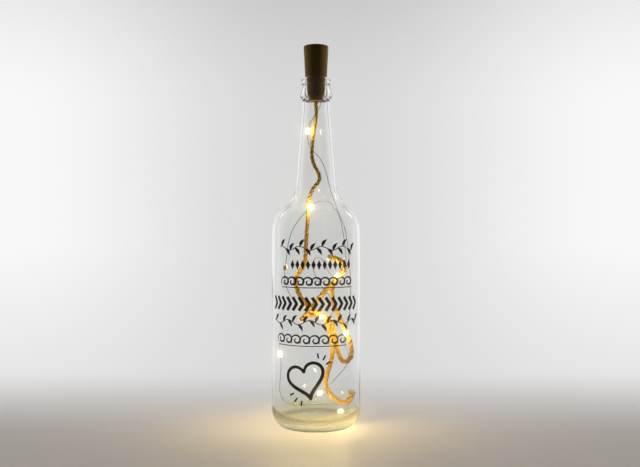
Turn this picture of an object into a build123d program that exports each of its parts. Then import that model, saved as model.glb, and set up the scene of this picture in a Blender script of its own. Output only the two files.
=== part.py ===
from build123d import *
import math
import os

# Cork bottle light: a clear glass bottle, a cork-look stopper with the cells and switch
# inside it, and a jute rope and a string of lights that hang from it into the bottle.
# Millimetres, +Z up, origin on the bottle's axis at the surface that it stands on.

# Bottle body
body_radius = 38.0
body_wall = 2.8
bottle_height = 296.0
foot_radius = 31.5
foot_width = 3.0
heel_angle = 43.0
heel_share = 0.88
foot_share = 0.1
punt_depth = 4.5
base_thickness = 4.5
floor_fall = 2.2
floor_fillet = 9.5
floor_run = 12.35

# Shoulder and neck
shoulder_top = 178.9
shoulder_slope = 54.0
shoulder_share = 0.53
neck_root_share = 0.46
neck_radius = 11.65
neck_wall = 2.05
neck_taper = 4.7
neck_straight = 5.5
neck_share = 0.45
bore_radius = 8.3

# Glass finish round the mouth, heights measured down from the rim
bead_radius = 13.6
bead_drop = 19.5
bead_height = 2.6
bead_flank = 3.3
bead_rise = 6.4
groove_radius = 11.7
lip_radius = 12.45
lip_height = 5.4
lip_undercut = 0.6
lip_round = 2.0
mouth_round = 0.4
bore_depth = 10.0
bore_round = 2.0

# Cork-look stopper
head_height = 27.5
head_foot_radius = 9.3
head_top_radius = 10.67
head_round = 1.0
head_foot_round = 0.2
plug_length = 19.5
plug_top_radius = 8.0
plug_tip_radius = 7.3
plug_round = 0.5
plug_floor = 4.5
plug_wall = 1.0
cavity_round = 0.8
lid_thickness = 2.0
lid_radius = 9.2
lid_round = 0.4
lid_notch = 1.4
core_radius = 7.2
core_clearance = 0.25
lid_clearance = 0.1

# Battery carrier, three button cells
cell_diameter = 11.6
cell_height = 5.4
cell_count = 3
cell_cap_radius = 4.6
cell_cap_height = 0.35
cell_foot_round = 0.3
cell_round = 0.4
cell_clearance = 0.15
carrier_floor = 1.0
carrier_deck = 0.8
carrier_round = 0.4
contact_thickness = 0.3
contact_radius = 4.7
leaf_rise = 0.5
leaf_length = 6.0
leaf_width = 2.0
leaf_hollow = 0.25
leaf_foot = 0.75
tab_width = 1.6
tab_place = 4.4
tab_room = 0.2

# Board and slide switch
board_thickness = 1.0
board_clearance = 0.1
lead_notch = 2.6
switch_length = 8.6
switch_width = 4.2
switch_height = 4.2
switch_skin = 0.3
switch_headroom = 0.6
switch_base_height = 0.8
knob_travel = 2.0
knob_foot_length = 4.6
knob_stem_length = 2.2
knob_stem_width = 1.6
knob_sunk = 0.3
knob_clearance = 0.15
pin_radius = 0.3
pin_round = 0.05
pin_clearance = 0.1
pin_lift = 0.1
pin_pitch = 2.5
pad_radius = 0.6
pad_height = 0.1
resistor_size = (1.6, 0.8, 0.5)
resistor_place = (2.6, 3.6)
resistor_round = 0.1

# Cords and lights
rope_diameter = 4.0
rope_socket_depth = 2.6
socket_clearance = 0.05
rope_end_gap = 0.1
wire_diameter = 0.6
wire_place = 4.4
wire_tail = 2.0
wire_hole_clearance = 0.25
lead_diameter = 0.6
lead_room = 0.2
lead_inset = 2.0
lead_drop = 0.8
lead_fall = 4.0
lead_bend = 1.5
lead_bend_tight = 0.9
splice_low = 0.6
splice_high = 4.0
groove_skin = 0.35
led_length = 5.0
led_diameter = 3.0
led_neck_radius = 0.55
led_margin = 0.4
chip_size = (0.7, 0.8, 1.6)
fit_clearance = 0.02
bend_share = 0.45

# Heights that follow from the sizes above
rim = bottle_height
cork_top = rim + head_height
plug_tip = rim - plug_length
cavity_floor = plug_tip + plug_floor
lid_under = cork_top - lid_thickness
switch_top = lid_under - switch_headroom
board_top = switch_top - switch_height
deck_top = board_top - board_thickness
deck_under = deck_top - carrier_deck
stack_top = deck_under - contact_thickness
stack_bottom = stack_top - cell_count * cell_height
carrier_floor_top = stack_bottom - leaf_rise - contact_thickness
carrier_bottom = carrier_floor_top - carrier_floor
carrier_bore = cell_diameter / 2 + cell_clearance
core_bore = core_radius + core_clearance
lid_pocket = lid_radius + lid_clearance
board_radius = carrier_bore - board_clearance
lead_radius = lead_diameter / 2
wire_radius = wire_diameter / 2
rope_radius = rope_diameter / 2

# The rope's route, from its socket down the neck, round a loop on the right, up to a fold,
# back across to a fold on the left and down to the frayed end by the wall
rope_route = [
    (0, 0, plug_tip + rope_socket_depth - rope_end_gap), (0, 0, 272.5), (0.3, 0, 264),
    (-1.9, 0.5, 251), (-3.6, 0, 237.5), (-3.5, -0.5, 224.5), (5, -1, 210.5), (-2.5, 0, 202),
    (-6.5, 0.5, 190), (-7, 0.5, 176.5), (-8.4, 0, 160), (-8.6, -1, 145.5), (-9.8, -2, 136),
    (-18, -4, 126.5), (-16.5, -4, 115.5), (-10.5, -2, 104.5), (-3.5, 0, 98), (4, 1, 94),
    (11.5, 1, 90), (15.5, 0, 81.5), (17.5, -1, 70.5), (19, -1.5, 60), (22.5, -1, 53.5),
    (28, 0, 53.5), (31.5, 1, 59.5), (30.5, 2, 68.5), (26, 3, 79.5), (21.5, 5, 90), (16.5, 7, 98.5),
    (14, 9.5, 108), (14.5, 11.5, 117), (20, 13, 125), (25.5, 13, 132.5), (24.5, 13, 139),
    (12, 12.5, 143.5), (12, 4, 143.5), (24.5, 4.5, 138.5), (25.5, 5, 131), (16.5, 5, 122.5),
    (7.5, 5, 113.5), (1, 6, 105.5), (-12.5, 6.5, 88.5), (-12.5, 15, 88.5), (-3.5, 15, 92.5),
    (4, 14.5, 91.5), (9.5, 12.5, 86.5), (12, 11.5, 78.5), (14.5, 10.5, 68.5), (14.5, 9.5, 57),
    (11.5, 7.5, 47), (8, 6.5, 36.5), (9.5, 5.5, 27), (15.5, 4.5, 20.5), (23, 3.5, 17),
    (29.5, 3, 18.8), (31.3, 3, 25.5),
]

# The light string's route: past the rope in the neck, down the right, across to the left,
# over the rope below the shoulder, down the right again and round the floor of the bottle
wire_route = [
    (wire_place, 0, cavity_floor + wire_tail), (wire_place, -0.1, 274), (1, -4.5, 267), (-5.5, -4.5, 257),
    (-8, 0, 244.5), (-4.5, 5.5, 235.5), (4, 6, 228.5), (9, 6, 216.5), (12, 5, 203.5),
    (15.5, 6, 191.5), (21, 12, 179), (25, 13, 158), (26.5, 5, 141.5), (25.5, -4, 129.5),
    (12.5, -6, 126.5), (8, -8, 136), (4.5, -8.5, 143), (-1, -7.5, 143.5), (-3, -6, 137),
    (-1, -4, 127.5), (5.5, -2.5, 117.5), (13, -2, 108), (14.5, -4, 97.5), (11.5, -5.5, 91.5),
    (-1.5, -6, 94), (-12, -12, 99.5), (-21.5, -17, 111), (-26, -20, 126.5), (-24, -19, 144),
    (-22.5, -14, 158.5), (-18.5, -9, 170), (-10.5, -5, 181), (1.5, -3.5, 189), (9, 1, 190),
    (18, 4, 183.5), (24.5, 6, 171.5), (27.5, 6, 155), (29.5, 5, 135.5), (30.5, 3, 114.5),
    (29.5, -1, 97.5), (27, -4.5, 85), (23.5, -6.5, 71.5), (27.5, -13, 63), (25.5, -20, 53.5),
    (17, -23, 44.5), (9, -17, 34.5), (-2.5, -15, 25), (-12, -18, 18), (-13, -25, 12.5),
    (-4, -28, 10), (7, -25.5, 10), (14, -18.5, 12.5), (27, -9, 15), (30, 2, 15), (26, 13, 13.5),
    (16, 22, 11.5), (2, 26.5, 10.5), (-13, 23.5, 11), (-24, 15, 13), (-30.5, 6, 19.5),
    (-32, -2, 31), (-30, -7, 43), (-29.5, -9, 54.5), (-31, -10, 68), (-29, -9.5, 78),
]

# Each light: the run of the wire that it sits on, and the side that its chip faces
led_runs = [
    (3, (-1, -1, 0)), (13, (0, -1, -1)), (23, (0, -1, 0)), (27, (1, 1, 0)), (31, (0, -1, 0)),
    (40, (0, -1, 0)), (45, (0, -1, 0)), (51, (0, -1, 0)), (57, (0, 1, 1)), (62, (0, -1, 0)),
]


def turned(corners):
    """Revolve a closed outline of (radius, height, fillet) corners about the bottle's axis."""
    points = [(r, 0, z) for r, z, fillet in corners]
    path = FilletPolyline(*points, radius=[fillet for r, z, fillet in corners], close=True)
    return revolve(make_face(path.edges()), Axis.Z)


def meet(p, along_p, q, along_q):
    """The point where two lines of the bottle's section cross, each a point and a direction."""
    cross = along_p[0] * along_q[1] - along_p[1] * along_q[0]
    step = ((q[0] - p[0]) * along_q[1] - (q[1] - p[1]) * along_q[0]) / cross
    return p[0] + step * along_p[0], p[1] + step * along_p[1]


def shoulder_corners(body_inset, neck_inset):
    """Body, slope and neck corners of the section, set in by a wall, with their fillets."""
    slope = math.radians(shoulder_slope)
    taper = math.radians(neck_taper)
    side = (body_radius - body_inset, 0)
    slope_point = (body_radius - body_inset * math.cos(slope), shoulder_top - body_inset * math.sin(slope))
    slope_along = (-math.sin(slope), math.cos(slope))
    taper_top = rim - bead_drop - neck_straight
    neck_point = (neck_radius - neck_inset, taper_top)
    neck_along = (-math.sin(taper), math.cos(taper))
    low = meet(side, (0, 1), slope_point, slope_along)
    high = meet(slope_point, slope_along, neck_point, neck_along)
    length = math.dist(low, high)
    low_round = shoulder_share * length / math.tan(slope / 2)
    high_round = neck_root_share * length / math.tan((slope - taper) / 2)
    neck_round = neck_share * neck_straight / math.tan(taper / 2)
    return [(*low, low_round), (*high, high_round), (*neck_point, neck_round)]


def bottle():
    """Clear bottle, one blown wall: punt, standing ring, heel, body, shoulder, neck and finish."""
    heel = math.radians(heel_angle)
    heel_run = (body_radius - foot_radius) / math.cos(heel)
    heel_round = heel_share * heel_run / math.tan((math.pi / 2 - heel) / 2)
    foot_round = foot_share * heel_run / math.tan(heel / 2)
    ring_inside = foot_radius - foot_width
    floor_edge = body_radius - body_wall - floor_run
    floor_middle = punt_depth + base_thickness
    floor_slope = 2 * floor_fall / floor_edge
    floor_corner = floor_middle - floor_fall - floor_slope * floor_run
    bead_foot = rim - bead_drop
    bead_low = bead_foot + bead_flank
    bead_high = bead_low + bead_height
    outside = [
        (ring_inside, 0, 0),
        (foot_radius, 0, foot_round),
        (body_radius, heel_run * math.sin(heel), heel_round),
        *shoulder_corners(0, 0),
        (neck_radius, bead_foot, bead_flank / 4),
        (bead_radius, bead_low, bead_height / 2.2),
        (bead_radius, bead_high, bead_height / 1.8),
        (groove_radius, bead_high + bead_rise, lip_undercut),
        (groove_radius, rim - lip_height - lip_undercut, lip_undercut / 3),
        (lip_radius, rim - lip_height, lip_undercut / 3),
        (lip_radius, rim, lip_round),
        (bore_radius, rim, mouth_round),
    ]
    inside = [
        (bore_radius, rim - bore_depth, bore_round),
        (neck_radius - neck_wall, bead_foot, bore_round),
        *reversed(shoulder_corners(body_wall, neck_wall)),
        (body_radius - body_wall, floor_corner, floor_fillet),
        (floor_edge, floor_middle - floor_fall, 0),
    ]
    wall = outside + inside
    points = [(r, 0, z) for r, z, fillet in wall]
    side = FilletPolyline(*points, radius=[fillet for r, z, fillet in wall[1:-1]])
    punt = TangentArc((0, 0, punt_depth), points[0], tangent=(1, 0, 0))
    floor = TangentArc((0, 0, floor_middle), points[-1], tangent=(1, 0, 0))
    axis = Line((0, 0, punt_depth), (0, 0, floor_middle))
    section = make_face([*side.edges(), *punt.edges(), *floor.edges(), *axis.edges()])
    return revolve(section, Axis.Z)


def cork_shell():
    """Moulded cork-look stopper: tapered head and plug, bored for the core, pocketed for the lid."""
    bore_floor = carrier_bottom - core_clearance
    shell = turned([
        (0, plug_tip, 0),
        (plug_tip_radius, plug_tip, plug_round),
        (plug_top_radius, rim, 0),
        (head_foot_radius, rim, head_foot_round),
        (head_top_radius, cork_top, head_round),
        (lid_pocket, cork_top, 0),
        (lid_pocket, lid_under, 0),
        (core_bore, lid_under, 0),
        (core_bore, bore_floor, 0),
        (plug_top_radius - plug_wall, bore_floor, 0),
        (plug_tip_radius - plug_wall, cavity_floor, cavity_round),
        (0, cavity_floor, 0),
    ])
    socket = Pos(0, 0, plug_tip + rope_socket_depth / 2) * Cylinder(
        rope_radius + socket_clearance, rope_socket_depth)
    wire_hole = Pos(wire_place, 0, plug_tip + plug_floor / 2) * Cylinder(
        wire_radius + wire_hole_clearance, plug_floor)
    return shell - socket - wire_hole


def top_lid():
    """Disc that closes the head, with the slot of the switch and a notch to lift the core by."""
    lid = turned([
        (0, lid_under, 0),
        (lid_radius, lid_under, 0),
        (lid_radius, cork_top, lid_round),
        (0, cork_top, 0),
    ])
    slot_length = knob_travel + knob_stem_length + 4 * knob_clearance
    slot_width = knob_stem_width + 2 * knob_clearance
    slot = Pos(0, 0, lid_under) * extrude(Rectangle(slot_length, slot_width), lid_thickness)
    notch = Pos(0, -lid_radius, cork_top) * Sphere(lid_notch)
    return lid - slot - notch


def battery_carrier():
    """Tube under the lid with a floor and a deck, open at the front so that the cells go in."""
    carrier = turned([
        (0, carrier_bottom, 0),
        (core_radius, carrier_bottom, carrier_round),
        (core_radius, lid_under, 0),
        (carrier_bore, lid_under, 0),
        (carrier_bore, deck_top, 0),
        (0, deck_top, 0),
    ])
    bay_height = deck_under - carrier_floor_top
    bay = Pos(0, 0, carrier_floor_top + bay_height / 2) * Cylinder(carrier_bore, bay_height)
    window_base = Pos(0, -core_radius / 2, carrier_floor_top)
    window = window_base * extrude(Rectangle(2 * carrier_bore, core_radius), bay_height)
    groove_width = lead_diameter + 2 * lead_room
    groove_depth = core_radius - carrier_bore - groove_skin
    groove = Pos(0, core_radius, (carrier_bottom + lid_under) / 2) * Box(
        groove_width, 2 * groove_depth, lid_under - carrier_bottom)
    notch_depth = core_radius - carrier_bore + lead_room
    notch = Pos(0, core_radius, board_top) * Box(groove_width, 2 * notch_depth, lead_notch)
    slot = extrude(Rectangle(tab_width + 2 * tab_room, contact_thickness + 2 * tab_room), carrier_deck)
    deck_slot = Pos(0, -tab_place, deck_under) * slot
    floor_slot = Pos(-tab_place, 0, carrier_bottom) * Rot(0, 0, 90) * extrude(
        Rectangle(tab_width + 2 * tab_room, contact_thickness + 2 * tab_room), carrier_floor)
    return carrier - bay - window - groove - notch - deck_slot - floor_slot


def button_cell(index):
    """Button cell with its negative cap down, counted from the bottom of the stack."""
    bottom = stack_bottom + index * cell_height
    top = bottom + cell_height
    return turned([
        (0, bottom, 0),
        (cell_cap_radius, bottom, cell_cap_height / 2),
        (cell_cap_radius, bottom + cell_cap_height, 0),
        (cell_diameter / 2, bottom + cell_cap_height, cell_foot_round),
        (cell_diameter / 2, top, cell_round),
        (0, top, 0),
    ])


def positive_contact():
    """Contact plate under the deck, with a tab that rises through the deck to the board."""
    plate = Pos(0, 0, stack_top + contact_thickness / 2) * Cylinder(contact_radius, contact_thickness)
    tab_height = board_top + contact_thickness - deck_under
    tab = Pos(0, -tab_place, deck_under) * extrude(Rectangle(tab_width, contact_thickness), tab_height)
    return plate + tab


def negative_contact():
    """Contact plate on the carrier's floor, with a sprung leaf and a tab down through the floor."""
    plate_top = stack_bottom - leaf_rise
    plate = Pos(0, 0, plate_top - contact_thickness / 2) * Cylinder(contact_radius, contact_thickness)
    half = leaf_length / 2
    over = ThreePointArc((-half, 0, plate_top), (0, 0, stack_bottom), (half, 0, plate_top))
    inset = half - leaf_foot
    under = ThreePointArc((-inset, 0, plate_top), (0, 0, plate_top + leaf_hollow), (inset, 0, plate_top))
    left_foot = Line((-half, 0, plate_top), (-inset, 0, plate_top))
    right_foot = Line((inset, 0, plate_top), (half, 0, plate_top))
    section = make_face([*over.edges(), *under.edges(), *left_foot.edges(), *right_foot.edges()])
    leaf = extrude(section, leaf_width / 2, both=True)
    tab_drop = carrier_floor + core_clearance
    tab = Pos(-tab_place, 0, carrier_floor_top - tab_drop) * extrude(
        Rectangle(contact_thickness, tab_width), tab_drop)
    return plate + leaf + tab


def circuit_board():
    """Round board on the deck, with the switch's pin holes and the slot of the positive tab."""
    board = Pos(0, 0, deck_top + board_thickness / 2) * Cylinder(board_radius, board_thickness)
    for place in (-pin_pitch, 0, pin_pitch):
        board -= Pos(place, 0, deck_top + board_thickness / 2) * Cylinder(
            pin_radius + pin_clearance, board_thickness)
    slot = extrude(Rectangle(tab_width + 2 * tab_room, contact_thickness + 2 * tab_room), board_thickness)
    return board - Pos(0, -tab_place, deck_top) * slot


def series_resistor():
    """Chip resistor that limits the lights' current."""
    x, y = resistor_place
    body = Pos(x, y, board_top + resistor_size[2] / 2) * Box(*resistor_size)
    return fillet(body.edges().filter_by(Axis.Z), resistor_round)


def switch_frame():
    """Folded steel cover of the slide switch, open below, slotted above for the knob."""
    cover = Pos(0, 0, board_top) * extrude(Rectangle(switch_length, switch_width), switch_height)
    cover = fillet(cover.edges().filter_by(Axis.Z), switch_skin)
    inside_length = switch_length - 2 * switch_skin
    inside_width = switch_width - 2 * switch_skin
    cover -= Pos(0, 0, board_top) * extrude(
        Rectangle(inside_length, inside_width), switch_height - switch_skin)
    slot_length = knob_travel + knob_stem_length + 2 * knob_clearance
    slot_width = knob_stem_width + 2 * knob_clearance
    return cover - Pos(0, 0, switch_top - switch_skin) * extrude(
        Rectangle(slot_length, slot_width), switch_skin)


def switch_base():
    """Insulating base of the slide switch, drilled for its three contacts."""
    length = switch_length - 2 * switch_skin - knob_clearance
    width = switch_width - 2 * switch_skin - knob_clearance
    base = Pos(0, 0, board_top) * extrude(Rectangle(length, width), switch_base_height)
    for place in (-pin_pitch, 0, pin_pitch):
        base -= Pos(place, 0, board_top + switch_base_height / 2) * Cylinder(
            pin_radius + fit_clearance, switch_base_height)
    return base


def switch_pins():
    """Three contacts of the slide switch: a pad on the base and a pin through the board."""
    foot = deck_top + pin_lift
    pad = board_top + switch_base_height
    pins = []
    for place in (-pin_pitch, 0, pin_pitch):
        pin = turned([
            (0, foot, 0),
            (pin_radius, foot, pin_round),
            (pin_radius, pad, 0),
            (pad_radius, pad, 0),
            (pad_radius, pad + pad_height, 0),
            (0, pad + pad_height, 0),
        ])
        pins.append(Pos(place, 0, 0) * pin)
    return Compound(children=pins)


def switch_knob():
    """Sliding knob, shown switched on: a foot inside the cover and a ridged stem in the lid."""
    foot_low = board_top + switch_base_height + pad_height + knob_clearance
    foot_high = switch_top - switch_skin - knob_clearance
    foot_width = switch_width - 2 * switch_skin - 2 * knob_clearance
    on_place = Pos(knob_travel / 2, 0, 0)
    foot = Pos(0, 0, foot_low) * extrude(Rectangle(knob_foot_length, foot_width), foot_high - foot_low)
    stem_top = cork_top - knob_sunk
    stem = Pos(0, 0, foot_high) * extrude(
        Rectangle(knob_stem_length, knob_stem_width), stem_top - foot_high)
    knob = foot + stem
    ridge = knob_stem_length / 8
    for step in (-2, 0, 2):
        knob -= Pos(step * ridge, 0, stem_top) * Box(ridge, knob_stem_width, 2 * ridge)
    return on_place * knob


def tube(route, diameter, radii):
    """Round cord along straight runs joined by tangent arcs, its volume set against its length."""
    path = FilletPolyline(*route, radius=radii)
    start = Plane(origin=route[0], z_dir=Vector(*route[1]) - Vector(*route[0]))
    cord = sweep(start * Circle(diameter / 2), path=path)
    area = math.pi * diameter ** 2 / 4
    print(f"  length {path.length:.1f} mm, volume over section times length "
          f"{cord.volume / (area * path.length):.4f}")
    return cord


def route_radii(route, straight_runs=()):
    """Corner radii of a route: as large as the two runs allow, keeping a light's run straight."""
    points = [Vector(*point) for point in route]
    runs = [after - before for before, after in zip(points, points[1:])]
    room = [bend_share * run.length for run in runs]
    for run in straight_runs:
        room[run] = min(room[run], (runs[run].length - led_length) / 2 - led_margin)
    radii = []
    for before, after, room_before, room_after in zip(runs, runs[1:], room, room[1:]):
        half_turn = math.radians(before.get_angle(after)) / 2
        radii.append(min(room_before, room_after) / math.tan(half_turn))
    return radii


def light_place(run, facing):
    """Plane at the middle of a run of the wire, along it, with its X axis on the chip's side."""
    low, high = Vector(*wire_route[run]), Vector(*wire_route[run + 1])
    along = (high - low).normalized()
    side = Vector(*facing) - along * Vector(*facing).dot(along)
    return Plane(origin=(low + high) / 2, x_dir=side, z_dir=along)


def led_parts(run, facing):
    """Resin drop on the wire, and the chip that it holds beside the wire."""
    half = led_length / 2
    bore = wire_radius + fit_clearance
    curve = ThreePointArc((led_neck_radius, 0, -half), (led_diameter / 2, 0, 0), (led_neck_radius, 0, half))
    ends = Polyline(
        (led_neck_radius, 0, half), (bore, 0, half), (bore, 0, -half), (led_neck_radius, 0, -half))
    drop = revolve(make_face([*curve.edges(), *ends.edges()]), Axis.Z)
    chip_middle = Pos(bore + chip_size[0] / 2, 0, 0)
    pocket = chip_middle * Box(*(size + 2 * fit_clearance for size in chip_size))
    place = light_place(run, facing)
    return place * (drop - pocket), place * (chip_middle * Box(*chip_size))


def lead_wires():
    """Leads inside the stopper: from the board down the carrier's groove, and from the lower tab."""
    level = board_top + lead_radius
    groove = carrier_bore + groove_skin + lead_radius + fit_clearance
    joint = wire_radius + lead_radius + fit_clearance
    meet_low = cavity_floor + splice_low
    meet_high = cavity_floor + splice_high
    positive = [
        (0, board_radius - lead_inset, level), (0, groove, level), (0, groove, carrier_bottom - lead_drop),
        (wire_place, joint, meet_high), (wire_place, joint, meet_low),
    ]
    tab_end = carrier_bottom - core_clearance
    negative = [
        (-tab_place, 0, tab_end), (-tab_place, 0, tab_end - lead_fall),
        (wire_place, -joint, meet_high), (wire_place, -joint, meet_low),
    ]
    print("lead wires")
    return (tube(positive, lead_diameter, [lead_bend_tight, lead_bend, lead_bend]),
            tube(negative, lead_diameter, [lead_bend, lead_bend]))


parts = {
    "glass_bottle": bottle(),
    "cork_shell": cork_shell(),
    "top_lid": top_lid(),
    "battery_carrier": battery_carrier(),
    "positive_contact": positive_contact(),
    "negative_contact": negative_contact(),
    "circuit_board": circuit_board(),
    "series_resistor": series_resistor(),
    "switch_frame": switch_frame(),
    "switch_base": switch_base(),
    "switch_pins": switch_pins(),
    "switch_knob": switch_knob(),
}
for index in range(cell_count):
    parts[f"button_cell_{index + 1}"] = button_cell(index)
parts["positive_lead"], parts["negative_lead"] = lead_wires()

print("jute rope")
rope_radii = route_radii(rope_route)
print("  radii", [round(radius, 1) for radius in rope_radii])
parts["jute_rope"] = tube(rope_route, rope_diameter, rope_radii)

print("light wire")
wire_radii = route_radii(wire_route, [run for run, facing in led_runs])
print("  radii", [round(radius, 1) for radius in wire_radii])
parts["light_wire"] = tube(wire_route, wire_diameter, wire_radii)
for number, (run, facing) in enumerate(led_runs, start=1):
    parts[f"led_drop_{number}"], parts[f"led_chip_{number}"] = led_parts(run, facing)

os.makedirs("parts", exist_ok=True)
for name, solid in parts.items():
    export_step(solid, f"parts/{name}.step")
print(len(parts), "parts written")
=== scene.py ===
import math
import bmesh
import bpy
import numpy as np
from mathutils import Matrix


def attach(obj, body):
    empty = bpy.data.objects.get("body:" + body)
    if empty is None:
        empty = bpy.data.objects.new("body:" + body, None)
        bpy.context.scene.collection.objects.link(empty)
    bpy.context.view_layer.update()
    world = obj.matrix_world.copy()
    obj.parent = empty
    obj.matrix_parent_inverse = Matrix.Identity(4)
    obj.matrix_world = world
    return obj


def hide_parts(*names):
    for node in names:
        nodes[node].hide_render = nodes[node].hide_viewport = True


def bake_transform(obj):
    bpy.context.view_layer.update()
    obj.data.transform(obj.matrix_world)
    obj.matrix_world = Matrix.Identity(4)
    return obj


# Cork bottle light: clear bottle, cork-look stopper, jute rope and a string of warm lights
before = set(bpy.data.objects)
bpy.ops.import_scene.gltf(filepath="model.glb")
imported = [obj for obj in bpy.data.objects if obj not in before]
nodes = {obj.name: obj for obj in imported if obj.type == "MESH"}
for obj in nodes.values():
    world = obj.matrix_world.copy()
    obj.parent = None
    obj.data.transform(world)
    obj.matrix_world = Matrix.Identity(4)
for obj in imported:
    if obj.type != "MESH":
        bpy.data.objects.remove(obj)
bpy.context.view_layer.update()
scene = bpy.context.scene
mm = 0.001
mergeDistance = 1e-7
rng = np.random.default_rng(11)
print("frame loaded,", len(nodes), "nodes")


# The four corners of every quad in a grid of numbers, in the other order where flipped
def quads(index, flip):
    corners = [index[:, :-1, :-1], index[:, :-1, 1:], index[:, 1:, 1:], index[:, 1:, :-1]]
    return np.stack(corners[::-1] if flip else corners, axis=-1)


# A grid of points (..., rows, columns, xyz) becomes quads between neighbours; a wrapped column closes
# the tube, rows that shrink to one point are merged into a pole
def surface(name, points, wrap=True, uv=None, flip=False):
    rows, cols = points.shape[-3:-1]
    index = np.arange(points.size // 3).reshape(-1, rows, cols)
    if wrap:
        index = np.concatenate([index, index[:, :, :1]], axis=2)
    faces = quads(index, flip).reshape(-1, 4)
    mesh = bpy.data.meshes.new(name)
    mesh.vertices.add(points.size // 3)
    mesh.vertices.foreach_set("co", np.ascontiguousarray(points, dtype=np.float32).ravel())
    mesh.loops.add(faces.size)
    mesh.loops.foreach_set("vertex_index", faces.astype(np.int32).ravel())
    mesh.polygons.add(len(faces))
    mesh.polygons.foreach_set("loop_start", np.arange(0, faces.size, 4, dtype=np.int32))
    mesh.update(calc_edges=True)
    if uv is not None:
        place = np.arange(uv.size // 2).reshape(-1, rows, uv.shape[-2])
        around = uv.reshape(-1, 2)[quads(place, flip).ravel()]
        layer = mesh.uv_layers.new(name="UVMap")
        layer.data.foreach_set("uv", around.astype(np.float32).ravel())
    work = bmesh.new()
    work.from_mesh(mesh)
    bmesh.ops.remove_doubles(work, verts=work.verts, dist=mergeDistance)
    work.to_mesh(mesh)
    work.free()
    mesh.shade_smooth()
    piece = bpy.data.objects.new(name, mesh)
    scene.collection.objects.link(piece)
    return piece


# Node and socket helpers for the materials, the surround and the glow
def addNode(tree, kind, sockets=None, **settings):
    node = tree.nodes.new(kind)
    for key, value in settings.items():
        setattr(node, key, value)
    for key, value in (sockets or {}).items():
        node.inputs[key].default_value = value
    return node


def mapRange(tree, start, end, low=0.0, high=1.0, smooth=False):
    sockets = {"From Min": start, "From Max": end, "To Min": low, "To Max": high}
    kind = "SMOOTHSTEP" if smooth else "LINEAR"
    return addNode(tree, "ShaderNodeMapRange", sockets, interpolation_type=kind)


# Links, each given as a node, its output, the next node and that node's input
def link(tree, *links):
    for source, output, target, socket in links:
        tree.links.new(source.outputs[output], target.inputs[socket])


def newMaterial(name, **sockets):
    material = bpy.data.materials.new(name)
    material.use_nodes = True
    tree = material.node_tree
    shader = tree.nodes["Principled BSDF"]
    for key, value in sockets.items():
        shader.inputs[key].default_value = value
    return material, tree, shader


def dress(piece, material):
    piece.data.materials.clear()
    piece.data.materials.append(material)


def colourRamp(tree, stops):
    ramp = tree.nodes.new("ShaderNodeValToRGB")
    while len(ramp.color_ramp.elements) < len(stops):
        ramp.color_ramp.elements.new(0.5)
    for element, (place, colour) in zip(ramp.color_ramp.elements, stops):
        element.position = place
        element.color = (*colour, 1.0)
    return ramp


def scaledColour(colour, share):
    return tuple(min(1.0, share * part) for part in colour)


# Group: dark flecks and pale clouds over a base colour, for cork-look and moulded surfaces
grainLook = {"cloudScale": 0.35, "fleck": (0.12, 0.34), "fleckShare": 0.75, "cloud": (0.42, 0.66),
             "roughness": (0.42, 0.62)}


def grainGroup():
    group = bpy.data.node_groups.new("grain", "ShaderNodeTree")
    given = {"Vector": "Vector", "Scale": "Float", "Base": "Color", "Dark": "Color", "Light": "Color"}
    for name, kind in given.items():
        group.interface.new_socket(name, in_out="INPUT", socket_type="NodeSocket" + kind)
    for name, kind in {"Color": "Color", "Height": "Float", "Roughness": "Float"}.items():
        group.interface.new_socket(name, in_out="OUTPUT", socket_type="NodeSocket" + kind)
    start = group.nodes.new("NodeGroupInput")
    end = group.nodes.new("NodeGroupOutput")
    cells = addNode(group, "ShaderNodeTexVoronoi", feature="F1")
    clouds = addNode(group, "ShaderNodeTexNoise", {"Detail": 6.0, "Roughness": 0.65})
    slow = addNode(group, "ShaderNodeMath", {1: grainLook["cloudScale"]}, operation="MULTIPLY")
    fleck = mapRange(group, *grainLook["fleck"], 1.0, 0.0)
    cloud = mapRange(group, *grainLook["cloud"])
    darker = addNode(group, "ShaderNodeMix", data_type="RGBA")
    lighter = addNode(group, "ShaderNodeMix", data_type="RGBA")
    some = addNode(group, "ShaderNodeMath", {1: grainLook["fleckShare"]}, operation="MULTIPLY")
    height = addNode(group, "ShaderNodeMath", operation="SUBTRACT")
    rough = mapRange(group, 0.0, 1.0, *grainLook["roughness"])
    link(group, (start, "Vector", cells, "Vector"), (start, "Scale", cells, "Scale"),
         (start, "Scale", slow, 0), (start, "Vector", clouds, "Vector"), (slow, 0, clouds, "Scale"),
         (cells, "Distance", fleck, "Value"), (clouds, "Fac", cloud, "Value"), (fleck, "Result", some, 0),
         (cloud, "Result", lighter, "Factor"),
         (start, "Base", lighter, "A"), (start, "Light", lighter, "B"), (some, 0, darker, "Factor"),
         (lighter, "Result", darker, "A"), (start, "Dark", darker, "B"), (darker, "Result", end, "Color"),
         (clouds, "Fac", height, 0), (fleck, "Result", height, 1), (height, 0, end, "Height"),
         (clouds, "Fac", rough, "Value"), (rough, "Result", end, "Roughness"))
    return group


grain = grainGroup()


def grainMaterial(name, scale, base, dark, light, bump, **sockets):
    material, tree, shader = newMaterial(name, **sockets)
    place = addNode(tree, "ShaderNodeTexCoord")
    node = addNode(tree, "ShaderNodeGroup", node_tree=grain)
    node.inputs["Scale"].default_value = scale
    for key, colour in {"Base": base, "Dark": dark, "Light": light}.items():
        node.inputs[key].default_value = (*colour, 1.0)
    relief = addNode(tree, "ShaderNodeBump", {"Strength": 1.0, "Distance": bump})
    link(tree, (place, "Object", node, "Vector"), (node, "Color", shader, "Base Color"),
         (node, "Roughness", shader, "Roughness"), (node, "Height", relief, "Height"),
         (relief, "Normal", shader, "Normal"))
    return material


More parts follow.
